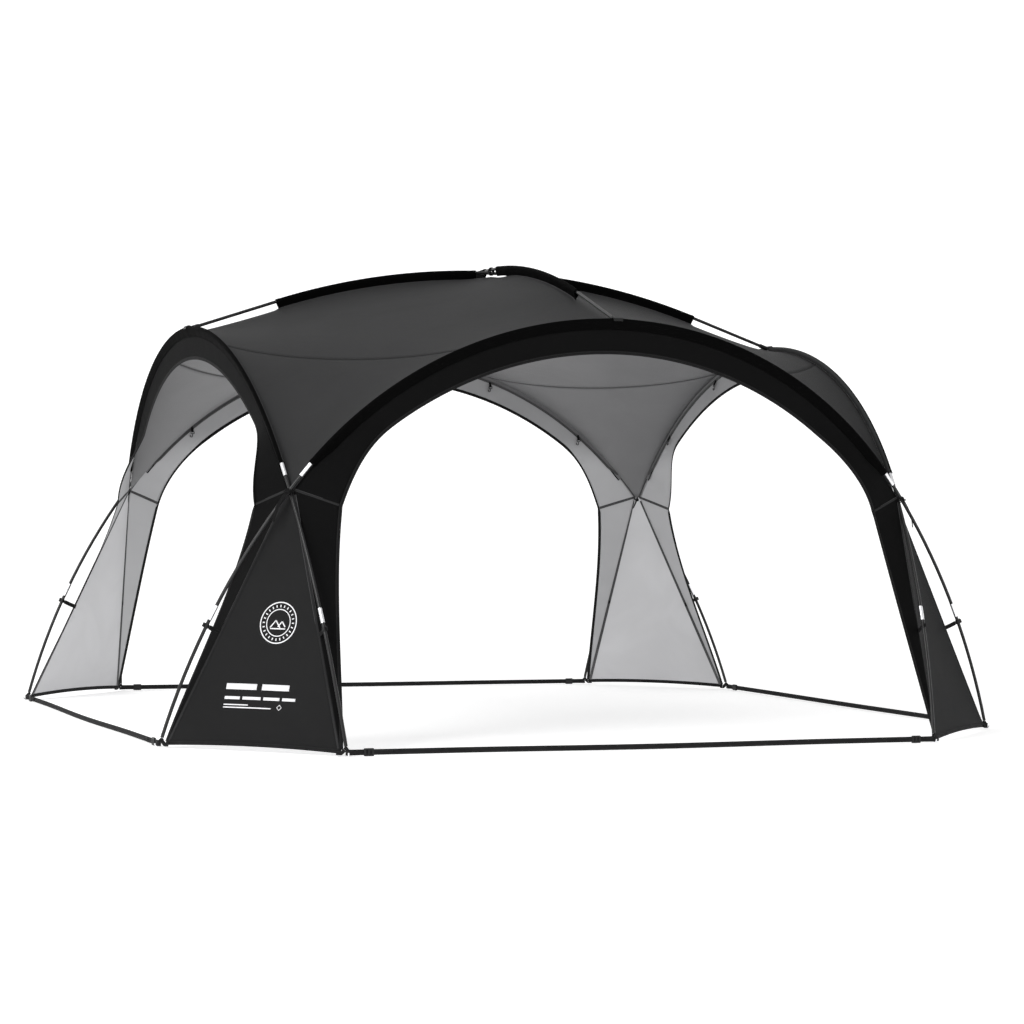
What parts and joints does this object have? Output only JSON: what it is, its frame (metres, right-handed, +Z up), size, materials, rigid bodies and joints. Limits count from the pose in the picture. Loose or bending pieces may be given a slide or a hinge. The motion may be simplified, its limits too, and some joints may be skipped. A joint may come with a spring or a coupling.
{
  "type": "tarp shelter",
  "caption": "Square dome tarp shelter: a taut coated canopy on crossing arch poles, with open doorways, leg panels, ground straps and wall hooks.",
  "frame": {"origin": "on the ground at the centre of the square plan", "axes": "+Z up; the front doorway faces -Y and the right doorway faces +X"},
  "size_m": [4.2578, 4.2578, 2.3252],
  "materials": {
    "canopy_cloth": "coated polyester, charcoal outside and silver inside",
    "sleeve_cloth": "matt black woven sleeve",
    "webbing": "black woven webbing",
    "tie_cord": "black braided cord",
    "pole_paint": "satin black powder coat",
    "ferrule_metal": "satin",
    "pin_steel": "zinc plated",
    "buckle_plastic": "moulded black acetal",
    "clip_plastic": "moulded black nylon with a webbing tab",
    "hook_plastic": "moulded black nylon",
    "socket_plastic": "moulded black nylon"
  },
  "bodies": {
    "shelter": {"crown_panel": "canopy_cloth", "pole_ferrules": "ferrule_metal", "foot_pins": "pin_steel", "crossing_ties": "tie_cord", "crown_sockets": "socket_plastic", "ground_straps": "webbing", "corner_tails": "webbing", "leg_clips": "clip_plastic", "hook_loops": "webbing", "front_back_roof_pole": "pole_paint", "left_right_roof_pole": "pole_paint", "front_back_roof_sleeve": "sleeve_cloth", "left_right_roof_sleeve": "sleeve_cloth", "front_arch_pole": "pole_paint", "front_arch_sleeve": "sleeve_cloth", "front_valance": "canopy_cloth", "right_arch_pole": "pole_paint", "right_arch_sleeve": "sleeve_cloth", "right_valance": "canopy_cloth", "back_arch_pole": "pole_paint", "back_arch_sleeve": "sleeve_cloth", "back_valance": "canopy_cloth", "left_arch_pole": "pole_paint", "left_arch_sleeve": "sleeve_cloth", "left_valance": "canopy_cloth", "front_left_corner_panel": "canopy_cloth", "front_left_leg_panel": "canopy_cloth", "front_right_corner_panel": "canopy_cloth", "front_right_leg_panel": "canopy_cloth", "back_right_corner_panel": "canopy_cloth", "back_right_leg_panel": "canopy_cloth", "back_left_corner_panel": "canopy_cloth", "back_left_leg_panel": "canopy_cloth"},
    "front_wall_hook_left_upper": {"front_wall_hook_left_upper": "hook_plastic"},
    "front_wall_hook_left_lower": {"front_wall_hook_left_lower": "hook_plastic"},
    "front_wall_hook_right_upper": {"front_wall_hook_right_upper": "hook_plastic"},
    "front_wall_hook_right_lower": {"front_wall_hook_right_lower": "hook_plastic"},
    "right_wall_hook_left_upper": {"right_wall_hook_left_upper": "hook_plastic"},
    "right_wall_hook_left_lower": {"right_wall_hook_left_lower": "hook_plastic"},
    "right_wall_hook_right_upper": {"right_wall_hook_right_upper": "hook_plastic"},
    "right_wall_hook_right_lower": {"right_wall_hook_right_lower": "hook_plastic"},
    "back_wall_hook_left_upper": {"back_wall_hook_left_upper": "hook_plastic"},
    "back_wall_hook_left_lower": {"back_wall_hook_left_lower": "hook_plastic"},
    "back_wall_hook_right_upper": {"back_wall_hook_right_upper": "hook_plastic"},
    "back_wall_hook_right_lower": {"back_wall_hook_right_lower": "hook_plastic"},
    "left_wall_hook_left_upper": {"left_wall_hook_left_upper": "hook_plastic"},
    "left_wall_hook_left_lower": {"left_wall_hook_left_lower": "hook_plastic"},
    "left_wall_hook_right_upper": {"left_wall_hook_right_upper": "hook_plastic"},
    "left_wall_hook_right_lower": {"left_wall_hook_right_lower": "hook_plastic"},
    "front_strap_buckle_start": {"front_strap_buckle_start": "buckle_plastic"},
    "front_strap_buckle_end": {"front_strap_buckle_end": "buckle_plastic"},
    "right_strap_buckle_start": {"right_strap_buckle_start": "buckle_plastic"},
    "right_strap_buckle_end": {"right_strap_buckle_end": "buckle_plastic"},
    "back_strap_buckle_start": {"back_strap_buckle_start": "buckle_plastic"},
    "back_strap_buckle_end": {"back_strap_buckle_end": "buckle_plastic"},
    "left_strap_buckle_start": {"left_strap_buckle_start": "buckle_plastic"},
    "left_strap_buckle_end": {"left_strap_buckle_end": "buckle_plastic"}
  },
  "joints": [
    {"name": "front_wall_hook_left_upper_swing", "type": "hinge", "parent": "shelter", "child": "front_wall_hook_left_upper", "pos_m": [-0.62, -1.61466, 1.77828], "axis": [1, 0, 0], "range_deg": [-8, 80]},
    {"name": "front_wall_hook_left_lower_swing", "type": "hinge", "parent": "shelter", "child": "front_wall_hook_left_lower", "pos_m": [-1.17, -1.58735, 1.47821], "axis": [1, 0, 0], "range_deg": [-8, 80]},
    {"name": "front_wall_hook_right_upper_swing", "type": "hinge", "parent": "shelter", "child": "front_wall_hook_right_upper", "pos_m": [0.62, -1.61466, 1.77828], "axis": [1, 0, 0], "range_deg": [-8, 80]},
    {"name": "front_wall_hook_right_lower_swing", "type": "hinge", "parent": "shelter", "child": "front_wall_hook_right_lower", "pos_m": [1.17, -1.58735, 1.47821], "axis": [1, 0, 0], "range_deg": [-8, 80]},
    {"name": "right_wall_hook_left_upper_swing", "type": "hinge", "parent": "shelter", "child": "right_wall_hook_left_upper", "pos_m": [1.5869, -0.62, 1.77828], "axis": [0, 1, 0], "range_deg": [-8, 80]},
    {"name": "right_wall_hook_left_lower_swing", "type": "hinge", "parent": "shelter", "child": "right_wall_hook_left_lower", "pos_m": [1.55959, -1.17, 1.47821], "axis": [0, 1, 0], "range_deg": [-8, 80]},
    {"name": "right_wall_hook_right_upper_swing", "type": "hinge", "parent": "shelter", "child": "right_wall_hook_right_upper", "pos_m": [1.5869, 0.62, 1.77828], "axis": [0, 1, 0], "range_deg": [-8, 80]},
    {"name": "right_wall_hook_right_lower_swing", "type": "hinge", "parent": "shelter", "child": "right_wall_hook_right_lower", "pos_m": [1.55959, 1.17, 1.47821], "axis": [0, 1, 0], "range_deg": [-8, 80]},
    {"name": "back_wall_hook_left_upper_swing", "type": "hinge", "parent": "shelter", "child": "back_wall_hook_left_upper", "pos_m": [0.62, 1.61466, 1.77828], "axis": [-1, 0, 0], "range_deg": [-8, 80]},
    {"name": "back_wall_hook_left_lower_swing", "type": "hinge", "parent": "shelter", "child": "back_wall_hook_left_lower", "pos_m": [1.17, 1.58735, 1.47821], "axis": [-1, 0, 0], "range_deg": [-8, 80]},
    {"name": "back_wall_hook_right_upper_swing", "type": "hinge", "parent": "shelter", "child": "back_wall_hook_right_upper", "pos_m": [-0.62, 1.61466, 1.77828], "axis": [-1, 0, 0], "range_deg": [-8, 80]},
    {"name": "back_wall_hook_right_lower_swing", "type": "hinge", "parent": "shelter", "child": "back_wall_hook_right_lower", "pos_m": [-1.17, 1.58735, 1.47821], "axis": [-1, 0, 0], "range_deg": [-8, 80]},
    {"name": "left_wall_hook_left_upper_swing", "type": "hinge", "parent": "shelter", "child": "left_wall_hook_left_upper", "pos_m": [-1.5869, 0.62, 1.77828], "axis": [0, -1, 0], "range_deg": [-8, 80]},
    {"name": "left_wall_hook_left_lower_swing", "type": "hinge", "parent": "shelter", "child": "left_wall_hook_left_lower", "pos_m": [-1.55959, 1.17, 1.47821], "axis": [0, -1, 0], "range_deg": [-8, 80]},
    {"name": "left_wall_hook_right_upper_swing", "type": "hinge", "parent": "shelter", "child": "left_wall_hook_right_upper", "pos_m": [-1.5869, -0.62, 1.77828], "axis": [0, -1, 0], "range_deg": [-8, 80]},
    {"name": "left_wall_hook_right_lower_swing", "type": "hinge", "parent": "shelter", "child": "left_wall_hook_right_lower", "pos_m": [-1.55959, -1.17, 1.47821], "axis": [0, -1, 0], "range_deg": [-8, 80]},
    {"name": "front_strap_buckle_start_slide", "type": "slide", "parent": "shelter", "child": "front_strap_buckle_start", "axis": [1, 0, 0], "range_m": [-0.02, 0.3]},
    {"name": "front_strap_buckle_end_slide", "type": "slide", "parent": "shelter", "child": "front_strap_buckle_end", "axis": [-1, 0, 0], "range_m": [-0.02, 0.3]},
    {"name": "right_strap_buckle_start_slide", "type": "slide", "parent": "shelter", "child": "right_strap_buckle_start", "axis": [0, 1, 0], "range_m": [-0.02, 0.3]},
    {"name": "right_strap_buckle_end_slide", "type": "slide", "parent": "shelter", "child": "right_strap_buckle_end", "axis": [0, -1, 0], "range_m": [-0.02, 0.3]},
    {"name": "back_strap_buckle_start_slide", "type": "slide", "parent": "shelter", "child": "back_strap_buckle_start", "axis": [-1, 0, 0], "range_m": [-0.02, 0.3]},
    {"name": "back_strap_buckle_end_slide", "type": "slide", "parent": "shelter", "child": "back_strap_buckle_end", "axis": [1, 0, 0], "range_m": [-0.02, 0.3]},
    {"name": "left_strap_buckle_start_slide", "type": "slide", "parent": "shelter", "child": "left_strap_buckle_start", "axis": [0, -1, 0], "range_m": [-0.02, 0.3]},
    {"name": "left_strap_buckle_end_slide", "type": "slide", "parent": "shelter", "child": "left_strap_buckle_end", "axis": [0, 1, 0], "range_m": [-0.02, 0.3]}
  ]
}
